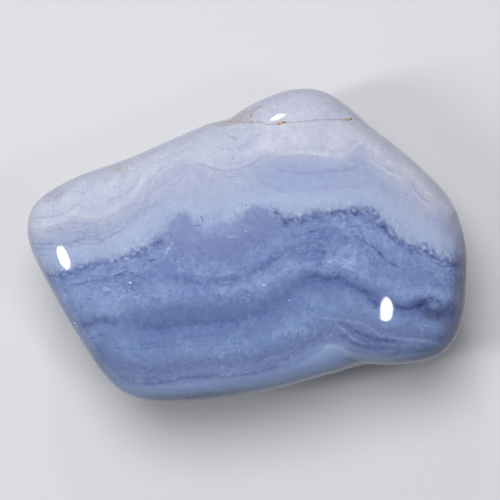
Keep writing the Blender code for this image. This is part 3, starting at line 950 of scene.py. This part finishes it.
pieces = add_node(tree, "ShaderNodeTexNoise", {
    "Vector": in_mm, "Scale": 1 / BREAKS, "Detail": 2.0, "Roughness": 0.6})
pieces = add_node(tree, "ShaderNodeMapRange", {
    "Value": pieces, "From Min": 0.42, "From Max": 0.56,
    "To Min": BEADS[0], "To Max": BEADS[1]})
knit = add_node(tree, "ShaderNodeMapRange", {
    "Value": tufts, "From Min": -0.55, "From Max": 0.05,
    "To Min": ROUND_TUFTS[0], "To Max": ROUND_TUFTS[1]})
loose = add_node(tree, "ShaderNodeMapRange", {
    "Value": raggedness, "From Min": LOOSE[0], "From Max": LOOSE[1],
    "To Min": 0.3, "To Max": 1.0})
broken = add_node(tree, "ShaderNodeMath", {"operation": "MULTIPLY", 0: pieces, 1: knit})
broken = add_node(tree, "ShaderNodeMath", {"operation": "SUBTRACT", 0: broken, 1: WHOLE})
broken = add_node(tree, "ShaderNodeMath", {
    "operation": "MULTIPLY_ADD", 0: broken, 1: loose, 2: WHOLE})
frayed = add_node(tree, "ShaderNodeMath", {
    "operation": "MULTIPLY_ADD", 0: fray, 1: WOBBLE, 2: tufts})
frayed = add_node(tree, "ShaderNodeMath", {"operation": "MULTIPLY", 0: frayed, 1: loose})
for name, tint in LINE_TINTS.items():
    line = add_node(tree, "ShaderNodeAttribute", {"attribute_name": name}).outputs["Fac"]
    shade = add_node(tree, "ShaderNodeAttribute", {
        "attribute_name": name + "_shade"}).outputs["Fac"]
    line = add_node(tree, "ShaderNodeMath", {"operation": "ADD", 0: line, 1: frayed})
    line = add_node(tree, "ShaderNodeMath", {"operation": "ABSOLUTE", 0: line})
    line = add_node(tree, "ShaderNodeMath", {
        "operation": "MULTIPLY_ADD", 0: curds, 1: CURDLED, 2: line})
    line = add_node(tree, "ShaderNodeMapRange", {
        "Value": line, "From Min": SOFT_EDGE[0], "From Max": SOFT_EDGE[1],
        "To Min": 1.0, "To Max": 0.0})
    line = add_node(tree, "ShaderNodeMath", {"operation": "MULTIPLY", 0: line, 1: broken})
    line = add_node(tree, "ShaderNodeMath", {"operation": "MULTIPLY", 0: line, 1: shade})
    line = add_node(tree, "ShaderNodeVectorMath", {
        "operation": "MULTIPLY_ADD", 0: line, 1: tint, 2: (1, 1, 1)})
    colour = add_node(tree, "ShaderNodeVectorMath", {
        "operation": "MULTIPLY", 0: colour, 1: line})
print("nodes with the lines:", len(tree.nodes))

# %% [markdown]
# ## The painted rim shade in the material
# The points know how far the painted shade deepens the colour there. A darker paint over the
# rim would hide the layers, so each colour is multiplied instead, and every layer keeps its
# contrast. The product takes most from the red.

# %% Paint the shade into the colour towards the rim
LOSS = (-1.1, -1.0, -0.8)   # red is lost first, so the rim turns bluer as it turns darker
painted_rim_shade = add_node(tree, "ShaderNodeAttribute", {"attribute_name": "painted_rim_shade"}).outputs["Fac"]
painted_rim_shade = add_node(tree, "ShaderNodeVectorMath", {
    "operation": "MULTIPLY_ADD", 0: painted_rim_shade, 1: LOSS, 2: (1, 1, 1)})
# the painted rim shade is multiplied into the colour here
colour = add_node(tree, "ShaderNodeVectorMath", {
    "operation": "MULTIPLY", 0: colour, 1: painted_rim_shade})
print("share of red that the rim loses:", (-LOSS[0] * deepest_painted_shade).round(2))

# %% [markdown]
# ## The fracture in the material
# The hairline lies where the distance from the fracture is next to nothing. Fine noise is
# added to the distance so that it wavers, and where a line breaks into beads it turns faint.

# %% Draw the fracture
HAIRLINE = (0.01, 0.07)   # distances at which it is full and gone, in millimetres
WAVER = 0.25              # how far the curds move it, in millimetres
HAIR_STRENGTH = 0.6       # share of the stone's colour that it hides
FAINTEST = 0.55           # share of its strength that is left between two beads
HAIR_COLOUR = "#877e88"   # brown iron seen through milky stone
crack_at = add_node(tree, "ShaderNodeAttribute", {"attribute_name": "crack"}).outputs["Fac"]
crack_at = add_node(tree, "ShaderNodeMath", {
    "operation": "MULTIPLY_ADD", 0: curds, 1: WAVER, 2: crack_at})
crack_at = add_node(tree, "ShaderNodeMath", {"operation": "ABSOLUTE", 0: crack_at})
crack_at = add_node(tree, "ShaderNodeMapRange", {
    "Value": crack_at, "From Min": HAIRLINE[0], "From Max": HAIRLINE[1],
    "To Min": HAIR_STRENGTH, "To Max": 0.0})
faint = add_node(tree, "ShaderNodeMath", {
    "operation": "MULTIPLY_ADD", 0: pieces, 1: 1 - FAINTEST, 2: FAINTEST})
crack_at = add_node(tree, "ShaderNodeMath", {"operation": "MULTIPLY", 0: crack_at, 1: faint})
colour = add_node(tree, "ShaderNodeMix", {
    "data_type": "RGBA", 0: crack_at, 6: colour, 7: linear(HAIR_COLOUR)}).outputs[MIXED]
print("hairline, mm:", 2 * HAIRLINE[1])

# %% [markdown]
# ## Beads of rust, glints and specks
# Iron has dried in beads along the fracture, and there are a few specks. The glints of a few
# pits are painted highlights: white spots in the colour. Each is at a place of its own, so each
# is an oval: a Mapping node centres and turns it at its place on the stone, and the distance
# from there, with some noise, says where it is. It reaches half a millimetre into the stone,
# so it doesn't come out again on the other side.

# %% Beads of rust, glints and dark specks
# name, place in the photograph, radii in pixels, turn in degrees, colour
SPOTS = (
    ("rust bead", (252, 122), (1.3, 0.7), 0, "#8a6a50"),
    ("rust halo", (258, 121.4), (1.4, 0.9), 0, "#b0a096"),
    ("rust halo", (281.5, 123), (4.8, 1.1), -9, "#b0937c"),
    ("rust bead", (278.5, 123.6), (1.8, 0.5), -5, "#7d4a22"),
    ("rust bead", (284, 122.8), (1.8, 0.6), -9, "#5c3a20"),
    ("rust halo", (348.5, 119.2), (4.6, 1.2), 0, "#b09c8c"),
    ("rust bead", (346.6, 119.3), (1.1, 0.6), 0, "#85501f"),
    ("rust bead", (350.7, 119), (1.1, 0.7), 0, "#6b3c18"),
    ("grey smudge", (232, 137.5), (5.2, 1.9), 25, "#a0a4b5"),
    ("grey oval", (296, 92), (3.6, 1.5), 0, "#9ca1b2"),
    ("grey dot", (183.5, 150), (1.2, 0.9), 0, "#a3a8ba"),
    ("grey dot", (234, 158), (1.4, 1.0), 30, "#989db2"),
    ("grey dot", (213, 175), (1.0, 0.8), 0, "#99a2b9"),
    ("grey dot", (210, 181), (1.0, 0.8), 0, "#99a2b9"),
    ("dark dot", (244, 191), (1.0, 0.8), 0, "#8e9abb"),
    ("dark dot", (245, 205), (1.1, 0.8), 0, "#838fb4"),
    ("dark dot", (105, 180), (1.1, 1.0), 0, "#9ba1b3"),
    ("white dot", (162, 157), (1.3, 1.1), 0, "#c0c4d2"),
    ("white dot", (226, 151), (1.5, 1.1), 0, "#c0c4d2"),
    ("white dot", (314, 131), (1.3, 1.1), 0, "#bfc3d1"),
    ("white dot", (298, 142), (2.0, 1.4), 0, "#bcc0d0"),
    ("white dot", (274, 106), (1.6, 1.1), 0, "#bfc3d1"),
    ("white dot", (247, 231), (1.0, 0.8), 0, "#aab4d0"),
    ("dark blob", (145, 368), (2.6, 1.4), 0, "#62739c"),
    ("dark blob", (152, 370), (2.2, 1.3), 0, "#62739c"),
    ("light cloud", (434, 306), (4.6, 3.2), 0, "#6f82a8"),
    # painted highlights: the white glints of tiny pits, set as colour
    ("white glint", (130.6, 281.5), (1.1, 0.8), 0, "#d5daec"),
    ("white glint", (264.5, 285), (1.2, 0.7), 0, "#ccd3ea"),
    ("white glint", (289, 300), (0.8, 0.7), 0, "#b4c0e0"),
    ("white glint", (75, 323), (1.3, 0.8), 0, "#b3bcd6"),
    ("white glint", (77, 326), (1.1, 0.7), 0, "#c0c6d8"),
)


def surface_under(across, down):
    """The point of the stone, in millimetres, that a place of the photograph shows."""
    upper = places[:, 2] > RIM_LEVEL
    away = (seen[upper, 0] - across) ** 2 + (seen[upper, 1] - down) ** 2
    return places[upper][np.argmin(away)]


SPOT_DEPTH = 0.5          # in millimetres
SPOT_EDGE = (0.7, 1.3)    # radii at which a spot starts to fade and is gone
SPOT_CURDS = 1.2          # how far the curds move its edge, in radii
SPOT_STRENGTH = 0.95      # share of the stone's colour that it hides
for _, middle, radii, turn, hex_colour in SPOTS:
    x, y, z = surface_under(*middle)
    nearer = add_node(tree, "ShaderNodeMapping", {
        "vector_type": "TEXTURE", "Vector": in_mm, "Location": (x, y, z),
        "Rotation": (0, 0, np.radians(-turn)),
        "Scale": (radii[0] * PIXEL, radii[1] * PIXEL, SPOT_DEPTH)})
    away = add_node(tree, "ShaderNodeVectorMath", {
        "operation": "LENGTH", 0: nearer}).outputs["Value"]
    away = add_node(tree, "ShaderNodeMath", {
        "operation": "MULTIPLY_ADD", 0: curds, 1: SPOT_CURDS, 2: away})
    there = add_node(tree, "ShaderNodeMapRange", {
        "Value": away, "From Min": SPOT_EDGE[0], "From Max": SPOT_EDGE[1],
        "To Min": SPOT_STRENGTH, "To Max": 0.0})
    colour = add_node(tree, "ShaderNodeMix", {
        "data_type": "RGBA", 0: there, 6: colour, 7: linear(hex_colour)}).outputs[MIXED]
print("spots:", len(SPOTS))

# %% [markdown]
# ## Gloss
# Chalcedony bends light by 1.54. The last round of the tumbler, with the finest powder, leaves
# the polish nearly perfect, but for a haze that comes and goes and a worn groove along the
# fracture. The milk in the stone is subsurface scattering. Blue goes furthest through it.

# %% Gloss
POLISH = (0.028, 0.050)   # roughness where the polish is best and where it is dullest
HAZE = 2.5                # width of the duller patches, in millimetres
GROOVE = 0.002            # depth of the worn edge of the fracture, in millimetres
CHALCEDONY = 1.54         # its index of refraction
MILK = 0.8                # share of the light that goes through the milk
SCATTER = 0.4             # how far it goes there, in millimetres
FURTHER = (0.9, 1.0, 1.3)   # factors of that way for red, green and blue

haze = add_node(tree, "ShaderNodeTexNoise", {
    "Vector": in_mm, "Scale": 1 / HAZE, "Detail": 2.0, "Roughness": 0.5})
haze = add_node(tree, "ShaderNodeMapRange", {
    "Value": haze, "From Min": 0.3, "From Max": 0.7,
    "To Min": POLISH[0], "To Max": POLISH[1]})
groove = add_node(tree, "ShaderNodeBump", {
    "Height": crack_at, "Strength": 1.0, "Distance": GROOVE * MM, "invert": True})
tree.links.new(colour, shader.inputs["Base Color"])
tree.links.new(haze.outputs[0], shader.inputs["Roughness"])
tree.links.new(groove.outputs[0], shader.inputs["Normal"])
shader.inputs["IOR"].default_value = CHALCEDONY
shader.inputs["Subsurface Weight"].default_value = MILK
shader.inputs["Subsurface Radius"].default_value = FURTHER
shader.inputs["Subsurface Scale"].default_value = SCATTER * MM
stone.data.materials.clear()
stone.data.materials.append(polish)
print("nodes in the polish:", len(tree.nodes))

# %% [markdown]
# ## The floor
# The stone lies on a plain sheet of matt white board, so large that its edges don't show. One
# square made by a bmesh operator is enough for it. Board is pressed from fibres, so its
# sheen and surface vary a little, which two nodes give it.

# %% Lay the floor
FLOOR_HALF = 400 * MM
FLOOR_GAP = 0.01 * MM     # so that the board and the stone's flat don't share a plane
FIBRE = 0.5               # width of a clump of fibres in the board, in millimetres
MATT = (0.85, 0.95)       # roughness of the board, which changes from clump to clump
BOARD_WHITE = "#c6c6ca"   # white board reflects somewhat more than half of the light

floor_mesh = bpy.data.meshes.new("floor")
bm = bmesh.new()
bmesh.ops.create_grid(bm, x_segments=1, y_segments=1, size=FLOOR_HALF)
bmesh.ops.translate(bm, verts=bm.verts[:], vec=(0, 0, -FLOOR_GAP))
bm.to_mesh(floor_mesh)
bm.free()
floor = bpy.data.objects.new("floor", floor_mesh)
bpy.context.scene.collection.objects.link(floor)

# to the eye: pale, even and without any gloss
board = bpy.data.materials.new("matt white board")
board.use_nodes = True
board_tree = board.node_tree
board_shader = board_tree.nodes["Principled BSDF"]
on_board = add_node(board_tree, "ShaderNodeTexCoord", {}).outputs["Object"]
fibres = add_node(board_tree, "ShaderNodeTexNoise", {
    "Vector": on_board, "Scale": 1 / (FIBRE * MM), "Detail": 2.0})
dull = add_node(board_tree, "ShaderNodeMapRange", {
    "Value": fibres, "From Min": 0.3, "From Max": 0.7, "To Min": MATT[0], "To Max": MATT[1]})
board_tree.links.new(dull.outputs[0], board_shader.inputs["Roughness"])
board_shader.inputs["Base Color"].default_value = linear(BOARD_WHITE)
floor_mesh.materials.append(board)
print("floor, mm:", round(2 * FLOOR_HALF / MM))

# %% [markdown]
# ## Light
# Three small lamps make the three clear highlights of the polish. A highlight is the image of
# a lamp in the stone, so each lamp stands where the surface mirrors the eye's ray: the ray is
# cast through the highlight's place in the photograph and reflected there.

# %% Lamps
from mathutils.bvhtree import BVHTree

bpy.context.view_layer.update()
faces = BVHTree.FromObject(stone, bpy.context.evaluated_depsgraph_get())


def mirrored(across, down):
    """The point seen at a place of the photograph and the direction that the polish mirrors."""
    eye = Vector(EYE) * MM
    ray = Vector((across - PICTURE / 2, PICTURE / 2 - down, -focal)).normalized()
    hit, _, face, _ = faces.ray_cast(eye, ray)
    normal = Vector()
    for i in stone.data.polygons[face].vertices:
        corner = stone.data.vertices[i]
        normal += corner.normal / ((corner.co - hit).length_squared + (0.01 * MM) ** 2)
    return hit, ray.reflect(normal.normalized())


# name, share kept of the lamp's long and short axes, because the curved polish draws its image
# wider than a flat mirror would, and the places round the highlight's edge, in pixels
HIGHLIGHTS = (
    ("left lamp", (0.80, 1.1), (
        (60.5, 247), (57, 252), (57.5, 259.5), (61, 265.5), (69.5, 271), (71, 263), (68, 253.5),
        (64, 248))),
    ("right lamp", (1.05, 0.98), (
        (387, 297), (390.5, 301), (392, 307.5), (392, 314), (390, 319), (385.5, 320.5), (381, 319),
        (379, 313), (381, 306.5), (383.5, 299))),
    ("far lamp", (0.80, 0.87), (
        (269.5, 121), (272.5, 117), (278, 114), (285, 113.8), (282.5, 117.5), (278, 120))),
)
LAMP_DISTANCE = 0.30      # from the stone, in metres
GLARE = 26.0              # radiance of a lamp's face, enough for a white image in the stone


def add_lamp(name, size, watts, place, across, upright):
    """An oval lamp that faces along the third axis, towards the stone."""
    lamp = bpy.data.lights.new(name, "AREA")
    lamp.shape = "ELLIPSE"
    lamp.size, lamp.size_y = size
    lamp.energy = watts
    holder = bpy.data.objects.new(name, lamp)
    bpy.context.scene.collection.objects.link(holder)
    turn = Matrix((across, upright, across.cross(upright))).transposed().to_4x4()
    holder.matrix_world = Matrix.Translation(place) @ turn
    print(name, "mm:", round(size[0] / MM), "by", round(size[1] / MM), "watts:", round(watts, 2))
    return holder


for name, kept, edge in HIGHLIGHTS:
    hits, swings = zip(*[mirrored(*corner) for corner in edge])
    hit = sum(hits, Vector()) / len(hits)
    out = sum(swings, Vector()).normalized()
    side = Vector((0, 0, 1)).cross(out).normalized()
    rise = out.cross(side)
    spread = np.array([[swing.dot(side), swing.dot(rise)] for swing in swings])
    turn, spans, _ = np.linalg.svd((spread - spread.mean(axis=0)).T)
    size = 2 * spans * np.sqrt(2 / len(edge)) * LAMP_DISTANCE * kept
    across_lamp = side * turn[0, 0] + rise * turn[1, 0]
    upright_lamp = out.cross(across_lamp)
    watts = GLARE * np.pi * (np.pi / 4) * size[0] * size[1]
    add_lamp(name, size, watts, hit + out * LAMP_DISTANCE, across_lamp, upright_lamp)

# %% [markdown]
# ## Soft light
# The even light on the stone comes from a wide key lamp above its far side, which is why its
# near rim is darker. The polish would mirror such a lamp as a large pale patch that the real
# stone doesn't show, so the key is kept out of reflections. A faint white sky fills the
# shadows, and the Standard view keeps colours as they are.

# %% Key light
KEY_FROM = Vector((-0.12, 0.32, 0.94)).normalized()
KEY_DISTANCE = 0.45       # in metres
KEY_SIZE = 0.26
KEY_WATTS = 1.85
key_across = KEY_FROM.orthogonal().normalized()
key = add_lamp("key", (KEY_SIZE, KEY_SIZE), KEY_WATTS, KEY_FROM * KEY_DISTANCE,
               key_across, KEY_FROM.cross(key_across))
key.visible_glossy = False

# %% Fill light
FILL = 0.10               # strength of the sky
world = bpy.data.worlds.new("studio")
world.use_nodes = True
sky = world.node_tree.nodes["Background"]
sky.inputs["Color"].default_value = linear("#ffffff")
sky.inputs["Strength"].default_value = FILL
bpy.context.scene.world = world
bpy.context.scene.view_settings.view_transform = "Standard"
print("fill:", FILL)
